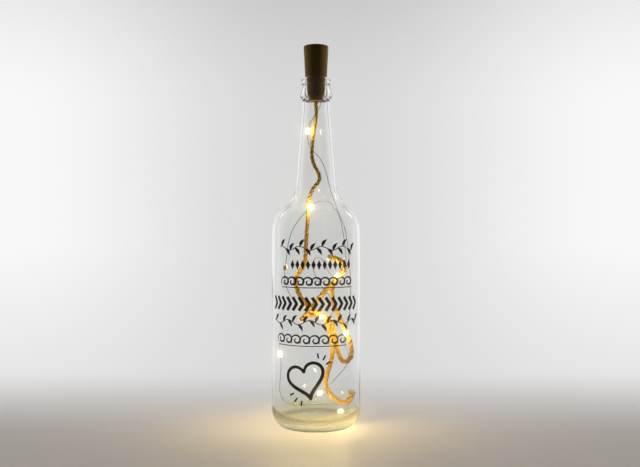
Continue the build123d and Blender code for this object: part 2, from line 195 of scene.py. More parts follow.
# Camera, at the photograph's height and distance, a little right of the axis
view = {"place": (0.0034, -0.697, 0.1756), "tiltDown": 1.0, "lens": 45.7, "sensor": 36.0, "clipStart": 0.01}
cameraData = bpy.data.cameras.new("camera")
cameraData.lens = view["lens"]
cameraData.sensor_width = view["sensor"]
cameraData.sensor_fit = "HORIZONTAL"
cameraData.clip_start = view["clipStart"]
camera = bpy.data.objects.new("camera", cameraData)
camera.location = view["place"]
camera.rotation_euler = (math.radians(90 - view["tiltDown"]), 0, 0)
scene.collection.objects.link(camera)
scene.camera = camera


# Cord routes, in mm from the stopper down; each is the control points of one smooth spline
ropeRoute = [
    (0, 0, 279), (0, 0, 272.5), (0.3, 0, 264), (-1.9, 0.5, 251), (-3.6, 0, 237.5), (-3.5, -0.5, 224.5),
    (5, -1, 210.5), (-2.5, 0, 202), (-6.5, 0.5, 190), (-7, 0.5, 176.5), (-8.4, 0, 160), (-8.6, -1, 145.5),
    (-9.8, -2, 136), (-18, -4, 126.5), (-16.5, -4, 115.5), (-10.5, -2, 104.5), (-3.5, 0, 98), (4, 1, 94),
    (11.5, 1, 90), (15.5, 0, 81.5), (17.5, -1, 70.5), (19, -1.5, 60), (22.5, -1, 53.5), (28, 0, 53.5),
    (31.5, 1, 59.5), (30.5, 2, 68.5), (26, 3, 79.5), (21.5, 5, 90), (16.5, 7, 98.5), (14, 9.5, 108),
    (14.5, 11.5, 117), (20, 13, 125), (25.5, 13, 132.5), (24.5, 13, 139), (12, 12.5, 143.5), (12, 4, 143.5),
    (24.5, 4.5, 138.5), (25.5, 5, 131), (16.5, 5, 122.5), (7.5, 5, 113.5), (1, 6, 105.5), (-12.5, 6.5, 88.5),
    (-12.5, 15, 88.5), (-3.5, 15, 92.5), (4, 14.5, 91.5), (9.5, 12.5, 86.5), (12, 11.5, 78.5),
    (14.5, 10.5, 68.5), (14.5, 9.5, 57), (11.5, 7.5, 47), (8, 6.5, 36.5), (9.5, 5.5, 27), (15.5, 4.5, 20.5),
    (23, 3.5, 17), (29.5, 3, 18.8), (31.3, 3, 25.5),
]
wireRoute = [
    (4.4, 0, 283), (4.4, -0.1, 274), (1, -4.5, 267), (-5.5, -4.5, 257), (-8, 0, 244.5), (-4.5, 5.5, 235.5),
    (4, 6, 228.5), (9, 6, 216.5), (12, 5, 203.5), (15.5, 6, 191.5), (21, 12, 179), (25, 13, 158),
    (26.5, 5, 141.5), (25.5, -4, 129.5), (12.5, -6, 126.5), (8, -8, 136), (4.5, -8.5, 143), (-1, -7.5, 143.5),
    (-3, -6, 137), (-1, -4, 127.5), (5.5, -2.5, 117.5), (13, -2, 108), (14.5, -4, 97.5), (11.5, -5.5, 91.5),
    (-1.5, -6, 94), (-12, -12, 99.5), (-21.5, -17, 111), (-26, -20, 126.5), (-24, -19, 144),
    (-22.5, -14, 158.5), (-18.5, -9, 170), (-10.5, -5, 181), (1.5, -3.5, 189), (9, 1, 190), (18, 4, 183.5),
    (24.5, 6, 171.5), (27.5, 6, 155), (29.5, 5, 135.5), (30.5, 3, 114.5), (29.5, -1, 97.5),
    (27, -4.5, 85), (23.5, -6.5, 71.5),
    (27.5, -13, 63), (25.5, -20, 53.5), (17, -23, 44.5), (9, -17, 34.5), (-2.5, -15, 25), (-12, -18, 18),
    (-13, -25, 12.5), (-4, -28, 10), (7, -25.5, 10), (14, -18.5, 12.5), (27, -9, 15), (30, 2, 15),
    (26, 13, 13.5), (16, 22, 11.5), (2, 26.5, 10.5), (-13, 23.5, 11), (-24, 15, 13), (-30.5, 6, 19.5),
    (-32, -2, 31), (-30, -7, 43), (-29.5, -9, 54.5), (-31, -10, 68), (-29, -9.5, 78),
]
positiveRoute = [
    (0, 3.85, 317), (0, 6.62, 317), (0, 6.62, 312), (0, 6.62, 301), (0, 6.62, 295.8), (4.4, 0.62, 285),
    (4.4, 0.62, 281.6),
]
negativeRoute = [(-4.4, 0, 296.3), (-4.4, 0, 292.3), (4.4, -0.62, 285), (4.4, -0.62, 281.6)]


# Points of the NURBS spline that has the route's points as its control points
def splinePoints(route, steps):
    line = bpy.data.curves.new("route", "CURVE")
    line.dimensions = "3D"
    spline = line.splines.new("NURBS")
    spline.points.add(len(route) - 1)
    weights = np.column_stack([np.array(route, float) * mm, np.ones(len(route))])
    spline.points.foreach_set("co", weights.ravel())
    spline.order_u = 3
    spline.use_endpoint_u = True
    spline.resolution_u = steps
    line.resolution_u = steps
    holder = bpy.data.objects.new("route", line)
    mesh = bpy.data.meshes.new_from_object(holder)
    points = np.empty(len(mesh.vertices) * 3)
    mesh.vertices.foreach_get("co", points)
    bpy.data.meshes.remove(mesh)
    bpy.data.objects.remove(holder)
    bpy.data.curves.remove(line)
    return points.reshape(-1, 3)


def unit(vectors):
    return vectors / np.linalg.norm(vectors, axis=-1, keepdims=True)


def runLength(points):
    return np.concatenate([[0], np.cumsum(np.linalg.norm(np.diff(points, axis=0), axis=1))])


# A cord's sections are set off from one slanting direction that no route follows; a strand's surface has
# slight ridges, and its map repeats every few radii and is shifted from strand to strand
strand = {"slant": (0.31, 0.93, 0.19), "ridges": 3, "ridgeTurns": 9, "mapRadii": 6, "mapShift": 0.37}


# Directions along a line of points and two across it, and the length run so far
def lineFrame(points):
    along = unit(np.gradient(points, axis=0))
    aside = unit(np.cross(along, strand["slant"]))
    across = np.cross(along, aside)
    return along, aside, across, runLength(points)


# Twisted strands: each strand's middle circles the line once per pitch, and its own section is a circle
# of the strand's radius, drawn in to a point over the last ring at both ends
def strands(name, points, count, offset, radius, pitch, sides, spread=1.0, swell=1.0, flute=0.0):
    along, aside, across, run = lineFrame(points)
    turn = 2 * np.pi * (run / pitch + np.arange(count)[:, None] / count)
    reach = np.broadcast_to(offset * spread, run.shape)
    middle = points + reach[:, None] * (np.cos(turn)[..., None] * aside + np.sin(turn)[..., None] * across)
    angle = 2 * np.pi * np.arange(sides) / sides
    close = np.ones(len(points)) * swell
    close[[0, -1]] = 0.0
    ridge = np.sin(strand["ridges"] * angle + strand["ridgeTurns"] * turn[..., None])
    size = radius * close[None, :, None] * (1 + flute * ridge)
    ring = np.cos(angle)[:, None] * aside[:, None, :] + np.sin(angle)[:, None] * across[:, None, :]
    grid = middle[:, :, None, :] + size[..., None] * ring
    wide = np.broadcast_to(np.arange(sides + 1) / sides, (count, len(points), sides + 1))
    tall = np.broadcast_to((run / radius / strand["mapRadii"])[None, :, None], wide.shape)
    tall = tall + np.arange(count)[:, None, None] * strand["mapShift"]
    return surface(name, grid, uv=np.stack([wide, tall], axis=-1))


# Jute rope: three laid strands, drawn thinner by the pull in the neck, opened out towards the cut end
rope = {"diameter": 0.004, "length": 0.5625, "steps": 14, "strands": 3, "strandRadius": 1.06 * mm,
        "strandOffset": 1.16 * mm, "pitch": 12.5 * mm, "sides": 14, "flute": 0.05, "drawn": 0.78,
        "drawnTo": 100 * mm, "drawnFade": 60 * mm, "open": 0.75, "openSwell": 0.2, "openLength": 14 * mm,
        "openPower": 1.5}
ropeLine = splinePoints(ropeRoute, rope["steps"])
ropeAlong, ropeAside, ropeAcross, ropeRun = lineFrame(ropeLine)
ropeOpen = np.clip((ropeRun - ropeRun[-1] + rope["openLength"]) / rope["openLength"], 0, 1)
ropeOpen = ropeOpen ** rope["openPower"]
ropeDrawn = np.clip((ropeRun - rope["drawnTo"]) / rope["drawnFade"], 0, 1)
ropeDrawn = rope["drawn"] + (1 - rope["drawn"]) * ropeDrawn
juteRope = strands("juteRope", ropeLine, rope["strands"], rope["strandOffset"], rope["strandRadius"],
                   rope["pitch"], rope["sides"], ropeDrawn * (1 + rope["open"] * ropeOpen),
                   ropeDrawn * (1 + rope["openSwell"] * ropeOpen), rope["flute"])

# Loose fibres of the rope, and the fray at its cut end
fuzz = {"hairs": 2300, "length": 3.4 * mm, "shortest": 0.35, "radius": 0.035 * mm, "root": 1.75 * mm,
        "stray": 0.35, "skipStart": 18, "skipEnd": 4, "outward": 0.45, "along": 0.75, "curl": 0.45,
        "curlStray": 0.4, "taper": (0.0, 1.0, 0.9, 0.7, 0.0), "sides": 3, "slant": (0.31, 0.53, 0.79),
        "mapShift": 9}
fray = {"hairs": 800, "length": 3.0 * mm, "shortest": 0.3, "reach": 2.9 * mm, "root": 0.8 * mm, "lean": 1.5,
        "stray": 0.25, "outward": 0.6}


# Thin three-sided hairs that leave the strand's surface sideways, lean along the rope and curl
def hairs(name, roots, out, lean, length):
    rings = len(fuzz["taper"])
    sides = fuzz["sides"]
    step = np.linspace(0, 1, rings)[:, None]
    curl = unit(np.cross(out, lean) + rng.normal(0, fuzz["curlStray"], out.shape))
    straight = fuzz["outward"] * out + fuzz["along"] * lean
    line = roots[:, None, :] + length[:, None, None] * (
        step * straight[:, None, :] + fuzz["curl"] * step ** 2 * curl[:, None, :])
    along = unit(np.gradient(line, axis=1))
    aside = unit(np.cross(along, fuzz["slant"]))
    across = np.cross(along, aside)
    angle = 2 * np.pi * np.arange(sides) / sides
    size = fuzz["radius"] * np.array(fuzz["taper"])[:, None, None]
    ring = np.cos(angle)[:, None] * aside[:, :, None, :] + np.sin(angle)[:, None] * across[:, :, None, :]
    grid = line[:, :, None, :] + size * ring
    wide = np.broadcast_to(np.arange(sides + 1) / sides, (len(roots), rings, sides + 1))
    tall = np.broadcast_to(step, wide.shape) + rng.random((len(roots), 1, 1)) * fuzz["mapShift"]
    return surface(name, grid, uv=np.stack([wide, tall], axis=-1))


def hairLengths(longest, shortest, count):
    return longest * (shortest + (1 - shortest) * rng.random(count))


def ropeFuzz():
    count = fuzz["hairs"]
    pick = rng.integers(fuzz["skipStart"], len(ropeLine) - fuzz["skipEnd"], count)
    side = rng.random(count) * 2 * np.pi
    out = np.cos(side)[:, None] * ropeAside[pick] + np.sin(side)[:, None] * ropeAcross[pick]
    roots = ropeLine[pick] + out * (fuzz["root"] * ropeDrawn[pick])[:, None]
    lean = ropeAlong[pick] * rng.choice([-1, 1], count)[:, None] + rng.normal(0, fuzz["stray"], (count, 3))
    length = hairLengths(fuzz["length"], fuzz["shortest"], count)
    ends = fray["hairs"]
    cut = np.full(ends, len(ropeLine) - 1)
    turn = rng.random(ends) * 2 * np.pi
    reach = fray["reach"] * np.sqrt(rng.random(ends))
    fan = np.cos(turn)[:, None] * ropeAside[cut] + np.sin(turn)[:, None] * ropeAcross[cut]
    endRoots = ropeLine[cut] + fan * reach[:, None] - ropeAlong[cut] * fray["root"]
    endLean = ropeAlong[cut] * fray["lean"] + rng.normal(0, fray["stray"], (ends, 3))
    endLength = hairLengths(fray["length"], fray["shortest"], ends)
    return hairs("ropeFuzz", np.vstack([roots, endRoots]), np.vstack([out, fray["outward"] * fan]),
                 np.vstack([lean, endLean]), np.concatenate([length, endLength]))


juteFuzz = ropeFuzz()

# Light string: two fine wires twisted together
wire = {"diameter": 0.0006, "length": 0.8156, "steps": 16, "strands": 2, "strandRadius": 0.15 * mm,
        "strandOffset": 0.145 * mm, "pitch": 5.0 * mm, "sides": 6}
wireLine = splinePoints(wireRoute, wire["steps"])
lightWire = strands("lightWire", wireLine, wire["strands"], wire["strandOffset"], wire["strandRadius"],
                    wire["pitch"], wire["sides"])

# Leads inside the stopper, each one plain strand
lead = {"radius": 0.3 * mm, "steps": 12, "sides": 10, "pitch": 1.0}


def stopperLead(name, route):
    line = splinePoints(route, lead["steps"])
    return strands(name, line, 1, 0.0, lead["radius"], lead["pitch"], lead["sides"])


positiveLead = stopperLead("positiveLead", positiveRoute)
negativeLead = stopperLead("negativeLead", negativeRoute)
print("cords made: rope", round(ropeRun[-1], 4), "m, wire", round(runLength(wireLine)[-1], 4), "m")


# Bottle, in mm: a section of corners rounded by arcs, turned about the axis; the wall's inside wavers by
# about a tenth of a millimetre between base and neck, as blown glass does. Each corner is a radius, a height
# and its rounding; each wave is a count, a share, a phase and the height of one radian
bottle = {
    "outside": [(31.5, 0, 2.26), (38, 6.06, 18.0), (38, 178.9, 25.68), (18.03, 193.41, 24.74),
                (11.65, 271, 60.3), (11.65, 276.5, 0.82), (13.6, 279.8, 1.18), (13.6, 282.4, 1.44),
                (11.7, 288.8, 0.6), (11.7, 290, 0.2), (12.45, 290.6, 0.2), (12.45, 296, 2.0),
                (8.3, 296, 0.4)],
    "inside": [(8.3, 286, 2.0), (9.6, 276.5, 2.0), (9.6, 271, 60.3), (16.15, 191.31, 23.6),
               (35.2, 177.47, 24.49), (35.2, 4.42, 9.5)],
    "ring": (28.5, 0.0), "punt": 4.5, "floor": 9.0, "floorEdge": (22.85, 6.8), "columns": 192, "arcSteps": 12,
    "dishSteps": 24, "rowStep": 2.5, "boreEnd": (8.3, 286), "waver": 0.11, "waverFrom": 14, "waverRise": 20,
    "waverTo": 215, "waverFall": 30, "waves": [(2, 1.0, 0.8, 61), (3, 0.6, 0.0, -37), (5, 0.4, 0.0, 23)],
}


# Each corner of the section becomes an arc of its radius that touches both runs
def roundedSection(corners, steps):
    points = np.array([corner[:2] for corner in corners], float)
    radius = np.array([corner[2] for corner in corners], float)[1:-1]
    back = unit(points[:-2] - points[1:-1])
    ahead = unit(points[2:] - points[1:-1])
    half = np.arccos(np.clip((back * ahead).sum(1), -1, 1)) / 2
    middle = points[1:-1] + unit(back + ahead) * (radius / np.sin(half))[:, None]
    first = points[1:-1] + back * (radius / np.tan(half))[:, None] - middle
    last = points[1:-1] + ahead * (radius / np.tan(half))[:, None] - middle
    start = np.arctan2(first[:, 1], first[:, 0])
    sweep = np.arctan2(last[:, 1], last[:, 0]) - start
    sweep = (sweep + np.pi) % (2 * np.pi) - np.pi
    angle = start[:, None] + sweep[:, None] * np.linspace(0, 1, steps)
    arcs = middle[:, None, :] + radius[:, None, None] * np.stack([np.cos(angle), np.sin(angle)], axis=-1)
    return np.vstack([points[:1], arcs.reshape(-1, 2), points[-1:]])


# An arc from the axis, level there, down to a point of the section
def dish(height, edge, steps):
    drop = height - edge[1]
    big = (edge[0] ** 2 + drop ** 2) / (2 * drop)
    radius = np.linspace(0, edge[0], steps)
    return np.column_stack([radius, height - big + np.sqrt(big ** 2 - radius ** 2)])


def glassBottle():
    corners = [(*bottle["ring"], 0)] + bottle["outside"] + bottle["inside"] + [(*bottle["floorEdge"], 0)]
    under = dish(bottle["punt"], bottle["ring"], bottle["dishSteps"])
    floor = dish(bottle["floor"], bottle["floorEdge"], bottle["dishSteps"])
    section = np.vstack([under[:-1], roundedSection(corners, bottle["arcSteps"]), floor[::-1][1:]])
    run = runLength(section)
    even = np.unique(np.concatenate([run, np.arange(0, run[-1], bottle["rowStep"])]).round(5))
    radius = np.interp(even, run, section[:, 0])
    height = np.interp(even, run, section[:, 1])
    inner = even > run[np.argmin(np.abs(section - bottle["boreEnd"]).sum(axis=1))]
    rise = np.clip((height - bottle["waverFrom"]) / bottle["waverRise"], 0, 1)
    fall = np.clip((bottle["waverTo"] - height) / bottle["waverFall"], 0, 1)
    turn = np.linspace(0, 2 * np.pi, bottle["columns"], endpoint=False)
    waves = sum(share * np.sin(count * turn + phase + height[:, None] / tall)
                for count, share, phase, tall in bottle["waves"])
    wide = radius[:, None] - np.abs(waves * bottle["waver"] * (rise * fall * inner)[:, None])
    level = np.broadcast_to(height[:, None], wide.shape)
    grid = np.stack([wide * np.cos(turn), wide * np.sin(turn), level], axis=-1)
    grid[[0, -1], :, :2] = 0.0
    return surface("clearBottle", grid * mm)


clearBottle = glassBottle()
print("bottle made,", len(clearBottle.data.polygons), "faces")


# Black print on the front of the glass, in mm: brush strokes given by a middle line and a width
ink = {"radius": 38.02, "thickness": 0.05, "steps": 25}
steps = np.linspace(0, 1, ink["steps"])


# Strokes (count, points, across and up in mm) with widths (count, points), wrapped round the body's front:
# each is a closed strip, the across distance taken as arc length
def brushStrokes(name, lines, widths):
    along = unit(np.gradient(lines, axis=1))
    normal = np.stack([-along[..., 1], along[..., 0]], axis=-1)
    left = lines + normal * widths[..., None] / 2
    right = lines - normal * widths[..., None] / 2
    flat = np.stack([left, right, right, left], axis=2)
    depth = ink["radius"] + np.array([0, 0, ink["thickness"], ink["thickness"]])
    turn = flat[..., 0] / ink["radius"]
    grid = np.stack([depth * np.sin(turn), -depth * np.cos(turn), flat[..., 1]], axis=-1)
    middle = grid[:, [0, -1]].mean(axis=2, keepdims=True)
    capped = np.concatenate([np.repeat(middle[:, :1], 4, 2), grid, np.repeat(middle[:, 1:], 4, 2)], axis=1)
    return surface(name, capped * mm, flip=True)


def directions(angles):
    return np.stack([np.cos(angles), np.sin(angles)], axis=-1)


# Shapes of the ornaments: mostly shares of their sizes, thin and stem widths of leaves and lozenges in mm;
# angles in radians, the scroll's in half turns
leaf = {"bow": 0.12, "swell": 0.8, "thin": 0.08, "lean": 0.95, "stemWidth": 0.7, "stemPieces": 8,
        "stemOverlap": 1.004}
scroll = {"start": 1.2, "sweep": 2.6, "outer": 1.25, "inner": 0.25, "flat": 0.95, "thin": 0.35, "drop": 1.15,
          "lineWidth": 0.42, "lineOverlap": 1.02}
lozenge = {"thin": 0.05}


# A leaf: a bowed middle line from its foot, width swelling as a sine
def leaves(feet, angles, length, width):
    direction = directions(angles)
    normal = np.stack([-direction[:, 1], direction[:, 0]], axis=-1)
    bow = leaf["bow"] * np.sin(np.pi * steps)
    lines = feet[:, None, :] + length * (
        steps[:, None] * direction[:, None, :] + bow[:, None] * normal[:, None, :])
    widths = width * np.sin(np.pi * steps ** leaf["swell"]) + leaf["thin"]
    return lines, np.broadcast_to(widths, lines.shape[:2])


# A vine: a sine stem in pieces, with leaves to each side in turn
def vine(left, right, level, swing, pitch, leafLength, leafWidth):
    count = int(round((right - left) / pitch))
    feet = np.column_stack([left + pitch * (np.arange(count) + 0.5), np.full(count, level)])
    feet[:, 1] += swing * np.sin(2 * np.pi * feet[:, 0] / (4 * pitch))
    turn = np.where(np.arange(count) % 2 == 0, 1.0, -1.0)
    lines, widths = leaves(feet, turn * leaf["lean"], leafLength, leafWidth)
    stem = np.linspace(left, right, leaf["stemPieces"] + 1)
    across = stem[:-1, None] + (stem[1] - stem[0]) * steps * leaf["stemOverlap"]
    up = level + swing * np.sin(2 * np.pi * across / (4 * pitch))
    stems = np.stack([across, up], axis=-1)
    return np.vstack([lines, stems]), np.vstack([widths, np.full(stems.shape[:2], leaf["stemWidth"])])


# A row of running scrolls on a base line: each a spiral that starts low beside the one before
def scrolls(left, right, level, count, size, width):
    pitch = (right - left) / count
    middle = left + pitch * (np.arange(count) + 0.5)
    angle = np.pi * (scroll["start"] - scroll["sweep"] * steps)
    radius = size * (scroll["outer"] - (scroll["outer"] - scroll["inner"]) * steps)
    across = middle[:, None] + radius * np.cos(angle)
    up = np.broadcast_to(level + scroll["flat"] * radius * np.sin(angle), across.shape)
    line = left + (right - left) * (np.arange(count)[:, None] + steps * scroll["lineOverlap"]) / count
    low = np.full_like(line, level - scroll["drop"] * size)
    lines = np.stack([np.vstack([across, line]), np.vstack([up, low])], axis=-1)
    brush = width * (scroll["thin"] + (1 - scroll["thin"]) * np.sin(np.pi * steps))
    spiral = np.broadcast_to(brush, across.shape)
    return lines, np.vstack([spiral, np.full(line.shape, scroll["lineWidth"] * width)])


# A row of lozenges, full width in the middle
def lozenges(left, right, level, count, length, width):
    across = np.broadcast_to(np.linspace(left, right, count)[:, None], (count, len(steps)))
    up = level + length * (np.broadcast_to(steps, across.shape) - 0.5)
    widths = width * (1 - np.abs(2 * steps - 1)) + lozenge["thin"]
    return np.stack([across, up], axis=-1), np.broadcast_to(widths, across.shape)


# A bold row of chevrons, each two straight arms
def chevrons(left, right, level, count, height, depth, width):
    middle = np.linspace(left, right, count)
    across = middle[:, None] + depth * (1 - np.abs(2 * steps - 1))
    up = np.broadcast_to(level + height * (steps - 0.5), across.shape)
    return np.stack([across, up], axis=-1), np.full(across.shape, width)


def printedRows():
    rows = [
        vine(left=-34, right=34, level=152, swing=1.6, pitch=4.6, leafLength=7.2, leafWidth=2.6),
        lozenges(left=-20, right=30, level=138.5, count=12, length=8.0, width=3.6),
        scrolls(left=-31, right=33, level=124.5, count=9, size=4.0, width=1.7),
        chevrons(left=-42, right=36, level=106.5, count=15, height=11.0, depth=3.6, width=2.7),
        vine(left=-42, right=40, level=91.5, swing=-1.8, pitch=4.9, leafLength=7.0, leafWidth=2.4),
        scrolls(left=-36, right=27, level=77, count=8, size=4.2, width=1.6),
    ]
    lines, widths = (np.vstack(part) for part in zip(*rows))
    return brushStrokes("printedRows", lines, widths)


# A plain heart: one looped line, x a cubed sine and y a sum of cosines, tipped a little, thicker below
heart = {"points": 97, "tip": math.radians(15), "size": 0.97, "middle": (-8.4, 45.4), "width": 2.4,
         "swell": 0.7}


def printedHeart():
    turn = np.linspace(0, 2 * np.pi, heart["points"])
    across = 16 * np.sin(turn) ** 3
    up = 13 * np.cos(turn) - 5 * np.cos(2 * turn) - 2 * np.cos(3 * turn) - np.cos(4 * turn)
    cosine = math.cos(heart["tip"])
    sine = math.sin(heart["tip"])
    tipped = np.stack([across * cosine - up * sine, across * sine + up * cosine], axis=-1)
    line = np.array(heart["middle"]) + heart["size"] * tipped
    width = heart["width"] + heart["swell"] * np.sin(turn / 2) ** 2
    return brushStrokes("printedHeart", line[None], width[None])


# Short strokes beside the heart: feet, and angles in degrees
accents = {"feet": [(2.2, 62.4), (5.9, 60.9), (8.4, 57.6), (-18.6, 33.0), (-15.4, 29.6), (-11.6, 27.4)],
           "angles": [100, 62, 28, 205, 232, 262], "length": 4.4, "width": 1.35}


def printedAccents():
    feet = np.array(accents["feet"])
    direction = directions(np.radians(accents["angles"]))
    lines = feet[:, None, :] + accents["length"] * steps[:, None] * direction[:, None, :]
    return brushStrokes("printedAccents", lines, np.full(lines.shape[:2], accents["width"]))


prints = [printedRows(), printedHeart(), printedAccents()]
print("print made")


# Clear glass: bright and smooth, lets the light that falls on other pieces through; in the thick base a
# yellow translucent part stands in for the lights' glow caught in the glass, and its foot gets painted shade,
# a dark green for the darkness at the standing ring. Heights in metres, shares of the base's translucent part
glass = {"tint": (0.976, 0.985, 0.975, 1.0), "ior": 1.5, "waveScale": 38.0, "waveDepth": 0.00006,
         "caught": (0.90, 0.84, 0.64, 1.0), "caughtShare": 0.19, "baseLow": 0.002, "baseTop": 0.021,
         "baseTint": (0.80, 0.90, 0.74, 1.0), "footShadeShare": 0.6, "footShadeLow": 0.0008, "footShadeTop": 0.0058,
         "footShade": (0.02, 0.032, 0.012, 1.0)}


def glassMaterial():
    material, tree, shader = newMaterial("clearGlass", **{
        "Base Color": glass["tint"], "Roughness": 0.0, "IOR": glass["ior"], "Transmission Weight": 1.0})
    place = addNode(tree, "ShaderNodeTexCoord")
    waves = addNode(tree, "ShaderNodeTexNoise", {"Scale": glass["waveScale"], "Detail": 1.0})
    relief = addNode(tree, "ShaderNodeBump", {"Strength": 1.0, "Distance": glass["waveDepth"]})
    path = addNode(tree, "ShaderNodeLightPath")
    clear = addNode(tree, "ShaderNodeBsdfTransparent", {"Color": (1.0, 1.0, 1.0, 1.0)})
    mix = addNode(tree, "ShaderNodeMixShader")
    split = addNode(tree, "ShaderNodeSeparateXYZ")
    base = mapRange(tree, glass["baseLow"], glass["baseTop"], 1.0, 0.0, smooth=True)
    # Painted shade at the foot: towards the bottom the caught glow's colour turns dark green and its share
    # grows
    foot = mapRange(tree, glass["footShadeLow"], glass["footShadeTop"])
    most = mapRange(tree, 0.0, 1.0, glass["footShadeShare"], glass["caughtShare"])
    share = addNode(tree, "ShaderNodeMath", operation="MULTIPLY")
    green = addNode(tree, "ShaderNodeMix", {"A": glass["tint"], "B": glass["baseTint"]}, data_type="RGBA")
    tint = addNode(tree, "ShaderNodeMix", {"A": glass["footShade"], "B": glass["caught"]}, data_type="RGBA")
    through = addNode(tree, "ShaderNodeMath", operation="MAXIMUM")
    caught = addNode(tree, "ShaderNodeBsdfTranslucent")
    thick = addNode(tree, "ShaderNodeMixShader")
    output = tree.nodes["Material Output"]
    link(tree, (place, "Object", split, "Vector"), (split, "Z", base, "Value"), (split, "Z", foot, "Value"),
         (foot, "Result", most, "Value"), (base, "Result", share, 0), (most, "Result", share, 1),
         (base, "Result", green, "Factor"), (green, "Result", shader, "Base Color"),
         (foot, "Result", tint, "Factor"), (tint, "Result", caught, "Color"), (share, 0, thick, "Fac"),
         (shader, "BSDF", thick, 1), (caught, "BSDF", thick, 2), (place, "Object", waves, "Vector"),
         (waves, "Fac", relief, "Height"), (relief, "Normal", shader, "Normal"),
         (path, "Is Shadow Ray", through, 0), (path, "Is Diffuse Ray", through, 1), (through, 0, mix, "Fac"),
         (thick, "Shader", mix, 1), (clear, "BSDF", mix, 2), (mix, "Shader", output, "Surface"))
    return material


# Jute: streaks along each strand, pale and dark fibres, over the strand's own map
juteSoft = {"Roughness": 0.85, "Sheen Weight": 0.35, "Sheen Roughness": 0.45, "Subsurface Weight": 0.25,
            "Subsurface Radius": (1.0, 0.7, 0.25), "Subsurface Scale": 0.0016}
juteLook = {"stretch": (9.0, 0.9, 1.0), "slant": (0.0, 0.0, 0.35), "fibreScale": 5.0, "patchScale": 90.0,
            "patchShare": 0.5, "darkAt": 0.42, "lightAt": 0.62, "paleAt": 0.85, "pale": 1.35}


def juteMaterial(name, light, dark, bump):
    material, tree, shader = newMaterial(name, **juteSoft)
    strandMap = addNode(tree, "ShaderNodeUVMap", uv_map="UVMap")
    stretch = addNode(tree, "ShaderNodeMapping", {
        "Scale": juteLook["stretch"], "Rotation": juteLook["slant"]})
    fibre = addNode(tree, "ShaderNodeTexNoise", {
        "Scale": juteLook["fibreScale"], "Detail": 5.0, "Roughness": 0.7})
    place = addNode(tree, "ShaderNodeTexCoord")
    patch = addNode(tree, "ShaderNodeTexNoise", {"Scale": juteLook["patchScale"], "Detail": 2.0})
    both = addNode(tree, "ShaderNodeMath", {1: juteLook["patchShare"]}, operation="MULTIPLY_ADD")
    ramp = colourRamp(tree, [(juteLook["darkAt"], dark), (juteLook["lightAt"], light),
                             (juteLook["paleAt"], scaledColour(light, juteLook["pale"]))])
    relief = addNode(tree, "ShaderNodeBump", {"Strength": 1.0, "Distance": bump})
    link(tree, (strandMap, "UV", stretch, "Vector"), (stretch, "Vector", fibre, "Vector"),
         (place, "Object", patch, "Vector"), (patch, "Fac", both, 0), (fibre, "Fac", both, 2),
         (both, 0, ramp, "Fac"), (ramp, "Color", shader, "Base Color"), (fibre, "Fac", relief, "Height"),
         (relief, "Normal", shader, "Normal"))
    return material


# Metals: grain over the plate's colour, metallic, with a roughness that varies about its own
metalLook = {"scale": 2600.0, "dark": 0.72, "light": 1.1, "bump": 0.000004, "smoother": 0.8, "rougher": 1.3}


def metalMaterial(name, colour, roughness):
    material = grainMaterial(name, metalLook["scale"], colour, scaledColour(colour, metalLook["dark"]),
                             scaledColour(colour, metalLook["light"]), metalLook["bump"], Metallic=1.0)
    tree = material.node_tree
    shader = tree.nodes["Principled BSDF"]
    spread = mapRange(tree, *grainLook["roughness"], roughness * metalLook["smoother"],
                      roughness * metalLook["rougher"])
    source = shader.inputs["Roughness"].links[0].from_socket
    tree.links.new(source, spread.inputs["Value"])
    tree.links.new(spread.outputs["Result"], shader.inputs["Roughness"])
    return material


# Lit resin: warm light, white at the core of each drop and amber at its edge. Each has a strength and the
# numbers of its drops; two are turned away from the front, so that they light the rope and the floor behind,
# and their body colour is darker, painted shade for drops whose glow faces away
lit = {"litResin": (210.0, (1, 2, 3, 5, 7)), "brightResin": (900.0, (10,)), "rightResin": (520.0, (6,)),
       "lowResin": (130.0, (8,))}
turned = {"toRope": (240.0, (0.55, 0.75, 0.3), (4,)), "toBack": (900.0, (0.1, 0.95, 0.25), (9,))}
resinLook = {"body": (1.0, 0.85, 0.55, 1.0), "shadedTurnedBody": (0.45, 0.36, 0.2, 1.0), "roughness": 0.15,
             "cloudScale": 600.0, "amber": (1.0, 0.70, 0.25), "pale": (1.0, 0.80, 0.37), "beam": (0.35, 0.7),
             "behindBeam": 0.15, "facing": (0.05, 0.6), "core": 24.0, "edge": 0.9}


def resinMaterial(name, strength, facing=None):
    # Painted shade: the drops turned away get the darker body colour
    body = resinLook["shadedTurnedBody"] if facing else resinLook["body"]
    material, tree, shader = newMaterial(name, **{
        "Base Color": body, "Roughness": resinLook["roughness"], "Emission Strength": strength})
    place = addNode(tree, "ShaderNodeTexCoord")
    cloud = addNode(tree, "ShaderNodeTexNoise", {"Scale": resinLook["cloudScale"], "Detail": 2.0})
    ramp = colourRamp(tree, [(0.3, resinLook["amber"]), (0.7, resinLook["pale"])])
    link(tree, (place, "Object", cloud, "Vector"), (cloud, "Fac", ramp, "Fac"),
         (ramp, "Color", shader, "Emission Color"))
    if facing:
        face = addNode(tree, "ShaderNodeNewGeometry")
        dot = addNode(tree, "ShaderNodeVectorMath", {1: facing}, operation="DOT_PRODUCT")
        part = mapRange(tree, *resinLook["beam"], resinLook["behindBeam"], strength)
        link(tree, (face, "Normal", dot, 0), (dot, "Value", part, "Value"),
             (part, "Result", shader, "Emission Strength"))
        return material
    path = addNode(tree, "ShaderNodeLightPath")
    seen = addNode(tree, "ShaderNodeMath", operation="MAXIMUM")
    layer = addNode(tree, "ShaderNodeLayerWeight", {"Blend": 0.5})
    core = mapRange(tree, *resinLook["facing"], resinLook["core"], resinLook["edge"], smooth=True)
    pick = addNode(tree, "ShaderNodeMix", {"A": strength}, data_type="FLOAT")
    link(tree, (path, "Is Camera Ray", seen, 0), (path, "Is Transmission Ray", seen, 1),
         (layer, "Facing", core, "Value"), (seen, 0, pick, "Factor"), (core, "Result", pick, "B"),
         (pick, "Result", shader, "Emission Strength"))
    return material


